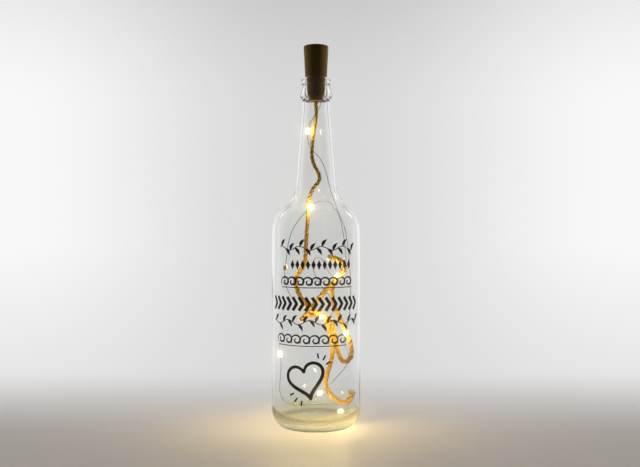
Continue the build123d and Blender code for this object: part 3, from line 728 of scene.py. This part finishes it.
# Moulded and painted surfaces: grains per metre, base, dark and light colours, depth of the relief in metres
corkSheen = {"Specular IOR Level": 0.12, "Sheen Weight": 0.6, "Sheen Roughness": 0.4,
             "Sheen Tint": (0.55, 0.4, 0.25, 1.0)}
corks = {
    "corkBrown": (1500.0, (0.15, 0.086, 0.022), (0.105, 0.058, 0.015), (0.19, 0.112, 0.032), 0.000008),
    "corkLid": (1500.0, (0.14, 0.08, 0.021), (0.1, 0.055, 0.014), (0.18, 0.106, 0.03), 0.000008),
}
moulded = {
    "carrierBlack": (2400.0, (0.02, 0.02, 0.02), (0.012, 0.012, 0.012), (0.035, 0.035, 0.034), 0.000008),
    "boardGreen": (1800.0, (0.012, 0.11, 0.035), (0.008, 0.07, 0.022), (0.02, 0.15, 0.05), 0.000005),
    "resistorBlack": (5000.0, (0.018, 0.018, 0.02), (0.01, 0.01, 0.011), (0.05, 0.05, 0.05), 0.000004),
    "switchBase": (3000.0, (0.12, 0.065, 0.03), (0.07, 0.035, 0.016), (0.17, 0.1, 0.05), 0.000005),
    "knobBlack": (3000.0, (0.015, 0.015, 0.015), (0.01, 0.01, 0.01), (0.03, 0.03, 0.03), 0.000006),
    "leadRed": (2500.0, (0.35, 0.015, 0.012), (0.24, 0.01, 0.008), (0.45, 0.03, 0.02), 0.000004),
    "leadBlack": (2500.0, (0.012, 0.012, 0.012), (0.008, 0.008, 0.008), (0.03, 0.03, 0.03), 0.000004),
    "inkBlack": (2200.0, (0.006, 0.006, 0.007), (0.003, 0.003, 0.003), (0.014, 0.014, 0.015), 0.000006),
    "chipYellow": (4000.0, (0.95, 0.62, 0.12), (0.85, 0.5, 0.08), (1.0, 0.72, 0.2), 0.000004),
}
# Metals: colour and roughness; jute: light and dark fibres and depth of the relief
metals = {
    "cellSteel": ((0.62, 0.62, 0.61), 0.28), "contactBrass": ((0.72, 0.56, 0.30), 0.3),
    "switchSteel": ((0.58, 0.58, 0.57), 0.32), "wireSilver": ((0.26, 0.25, 0.23), 0.34),
}
jutes = {
    "juteFibre": ((0.46, 0.295, 0.046), (0.20, 0.114, 0.018), 0.00012),
    "juteHair": ((0.52, 0.34, 0.07), (0.34, 0.21, 0.036), 0.00001),
}
materials = {"clearGlass": glassMaterial()}
materials.update({name: grainMaterial(name, *look, **corkSheen) for name, look in corks.items()})
materials.update({name: grainMaterial(name, *look) for name, look in moulded.items()})
materials.update({name: metalMaterial(name, *look) for name, look in metals.items()})
materials.update({name: juteMaterial(name, *look) for name, look in jutes.items()})
materials.update({name: resinMaterial(name, strength) for name, (strength, numbers) in lit.items()})
materials.update({name: resinMaterial(name, strength, facing)
                  for name, (strength, facing, numbers) in turned.items()})
print("materials made")

# Finish of every node and piece
finishes = {
    "cork_shell": "corkBrown", "top_lid": "corkLid", "battery_carrier": "carrierBlack",
    "positive_contact": "contactBrass", "negative_contact": "contactBrass", "circuit_board": "boardGreen",
    "series_resistor": "resistorBlack", "switch_frame": "switchSteel", "switch_base": "switchBase",
    "switch_pins": "contactBrass", "switch_knob": "knobBlack", "button_cell_1": "cellSteel",
    "button_cell_2": "cellSteel", "button_cell_3": "cellSteel", "glass_bottle": "clearGlass",
    "jute_rope": "juteFibre", "light_wire": "wireSilver", "positive_lead": "leadRed",
    "negative_lead": "leadBlack",
}
chips = sorted(name for name in nodes if name.startswith("led_chip"))
for resin, (*_, numbers) in (lit | turned).items():
    finishes.update({f"led_drop_{number}": resin for number in numbers})
finishes.update({name: "chipYellow" for name in chips})
for name, finish in finishes.items():
    dress(nodes[name], materials[finish])
pieceFinishes = [(clearBottle, "clearGlass"), (juteRope, "juteFibre"), (juteFuzz, "juteHair"),
                 (lightWire, "wireSilver"), (positiveLead, "leadRed"), (negativeLead, "leadBlack")]
pieceFinishes += [(piece, "inkBlack") for piece in prints]
for piece, finish in pieceFinishes:
    dress(piece, materials[finish])

# What each piece rides on and stands for
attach(clearBottle, "bottle")
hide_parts("glass_bottle")
for piece in prints:
    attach(piece, "bottle")
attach(juteRope, "stopper")
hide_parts("jute_rope")
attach(juteFuzz, "stopper")
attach(lightWire, "stopper")
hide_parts("light_wire")
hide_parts("positive_lead")
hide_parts("negative_lead")
for piece in (positiveLead, negativeLead):
    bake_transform(piece)


# Studio: pale floor with painted shade that darkens its colour towards the camera, and that ends softly
# behind the bottle, and a bright surround, brightest at both sides. Distances in metres; each range of the
# surround is start, end and its two levels
studio = {
    "floorColour": (0.72, 0.67, 0.625), "floorSpeck": 0.97, "floorSide": 1.6, "floorBack": 0.4,
    "floorRows": 9, "floorLevel": -0.0002, "nearShadeStart": -0.15, "nearShadeEnd": -0.4, "nearShade": 0.42,
    "fadeStart": -0.08, "fadeEnd": 0.26,
    "middle": (0.69, 0.69, 0.69, 1.0), "front": (-0.25, 0.55, 0.06, 1.0), "top": (0.12, 0.45, 1.0, 0.62),
    "low": (-0.24, -0.03, 0.15, 1.0),
    "sides": [(0.03, (0.69, 0.69, 0.69)), (0.36, (0.94, 0.94, 0.94)), (0.55, (0.94, 0.94, 0.94)),
              (0.8, (0.42, 0.42, 0.42))],
}
# Soft lamps: place, aim, size, power, whether they show in gloss, and the beam's angle
lamps = {
    "backSoft": ((0, 0.75, 0.75), (0, 0, 0), (1.4, 0.5), 3.2, False, 180.0),
    "rightSoft": ((0.85, 0.66, 0.77), (0, 0, 0.18), (0.12, 0.3), 0.6, True, 180.0),
    "leftSoft": ((-0.85, 0.66, 0.77), (0, 0, 0.18), (0.12, 0.3), 0.35, True, 180.0),
    "rightEdge": ((0.87, 0.26, 0.29), (0, 0, 0.29), (0.12, 0.12), 0.13, False, 30.0),
    "leftEdge": ((-0.87, 0.26, 0.29), (0, 0, 0.29), (0.12, 0.12), 0.095, False, 30.0),
}


def floorPiece():
    side = np.linspace(-studio["floorSide"], studio["floorSide"], studio["floorRows"])
    depth = np.linspace(-studio["floorSide"], studio["floorBack"], studio["floorRows"])
    across, ahead = np.meshgrid(side, depth)
    grid = np.stack([across, ahead, np.full_like(across, studio["floorLevel"])], axis=-1)
    floor = surface("floor", grid, wrap=False)
    material, tree, shader = newMaterial("paleFloor", **{"Roughness": 0.5, "Specular IOR Level": 0.35})
    place = addNode(tree, "ShaderNodeTexCoord")
    speck = addNode(tree, "ShaderNodeTexNoise", {"Scale": 220.0, "Detail": 4.0})
    darker = scaledColour(studio["floorColour"], studio["floorSpeck"])
    ramp = colourRamp(tree, [(0.35, darker), (0.65, studio["floorColour"])])
    split = addNode(tree, "ShaderNodeSeparateXYZ")
    fade = mapRange(tree, studio["fadeStart"], studio["fadeEnd"], smooth=True)
    # Painted shade: the floor's colour is scaled down to the near share towards the camera
    nearShadeMask = mapRange(tree, studio["nearShadeEnd"], studio["nearShadeStart"], studio["nearShade"], 1.0)
    shadedFloorColour = addNode(tree, "ShaderNodeVectorMath", operation="SCALE")
    gone = addNode(tree, "ShaderNodeBsdfTransparent")
    mix = addNode(tree, "ShaderNodeMixShader")
    link(tree, (place, "Object", speck, "Vector"), (speck, "Fac", ramp, "Fac"),
         (place, "Object", split, "Vector"), (split, "Y", nearShadeMask, "Value"), (ramp, "Color", shadedFloorColour, 0),
         (nearShadeMask, "Result", shadedFloorColour, "Scale"),
         (shadedFloorColour, "Vector", shader, "Base Color"), (split, "Y", fade, "Value"), (fade, "Result", mix, "Fac"),
         (shader, "BSDF", mix, 1), (gone, "BSDF", mix, 2),
         (mix, "Shader", tree.nodes["Material Output"], "Surface"))
    dress(floor, material)


def surround():
    world = bpy.data.worlds.new("studio")
    world.use_nodes = True
    scene.world = world
    tree = world.node_tree
    background = tree.nodes["Background"]
    background.inputs["Strength"].default_value = 1.0
    place = addNode(tree, "ShaderNodeTexCoord")
    split = addNode(tree, "ShaderNodeSeparateXYZ")
    wide = addNode(tree, "ShaderNodeMath", operation="ABSOLUTE")
    sides = colourRamp(tree, studio["sides"])
    sides.color_ramp.interpolation = "EASE"
    front = mapRange(tree, *studio["front"], smooth=True)
    top = mapRange(tree, *studio["top"], smooth=True)
    low = mapRange(tree, *studio["low"])
    level = addNode(tree, "ShaderNodeMix", {"A": studio["middle"]}, data_type="RGBA")
    first = addNode(tree, "ShaderNodeMath", operation="MULTIPLY")
    second = addNode(tree, "ShaderNodeMath", operation="MULTIPLY")
    link(tree, (place, "Generated", split, "Vector"), (split, "X", wide, 0), (wide, 0, sides, "Fac"),
         (split, "Y", front, "Value"), (split, "Z", top, "Value"), (split, "Z", low, "Value"),
         (low, "Result", level, "Factor"), (sides, "Color", level, "B"), (level, "Result", first, 0),
         (front, "Result", first, 1), (first, 0, second, 0), (top, "Result", second, 1),
         (second, 0, background, "Color"))


def softLight(name, place, aim, size, power, shine, beam):
    data = bpy.data.lights.new(name, "AREA")
    data.shape = "RECTANGLE"
    data.size, data.size_y = size
    data.energy = power
    data.spread = math.radians(beam)
    lamp = bpy.data.objects.new(name, data)
    lamp.location = place
    away = np.array(place, float) - np.array(aim, float)
    tilt = math.atan2(math.hypot(away[0], away[1]), away[2])
    lamp.rotation_euler = (tilt, 0, math.atan2(away[0], -away[1]))
    lamp.visible_glossy = shine
    lamp.visible_transmission = False
    scene.collection.objects.link(lamp)


floorPiece()
surround()
for name, lamp in lamps.items():
    softLight(name, *lamp)


# Glow round the lights
bloom = {"Threshold": 1.3, "Smoothness": 0.2, "Strength": 1.0, "Size": 0.4}
bloomExposure = 1.0


def glow():
    scene.use_nodes = True
    tree = scene.node_tree
    tree.nodes.clear()
    layers = addNode(tree, "CompositorNodeRLayers")
    glare = addNode(tree, "CompositorNodeGlare", bloom, glare_type="BLOOM")
    lift = addNode(tree, "CompositorNodeExposure", {"Exposure": bloomExposure})
    add = addNode(tree, "CompositorNodeMixRGB", blend_type="ADD")
    output = addNode(tree, "CompositorNodeComposite")
    link(tree, (layers, "Image", glare, "Image"), (glare, "Glare", lift, "Image"), (layers, "Image", add, 1),
         (lift, "Image", add, 2), (add, "Image", output, "Image"))


glow()
scene.view_settings.view_transform = "Standard"
scene.cycles.caustics_refractive = False
scene.cycles.caustics_reflective = False
print("studio made")
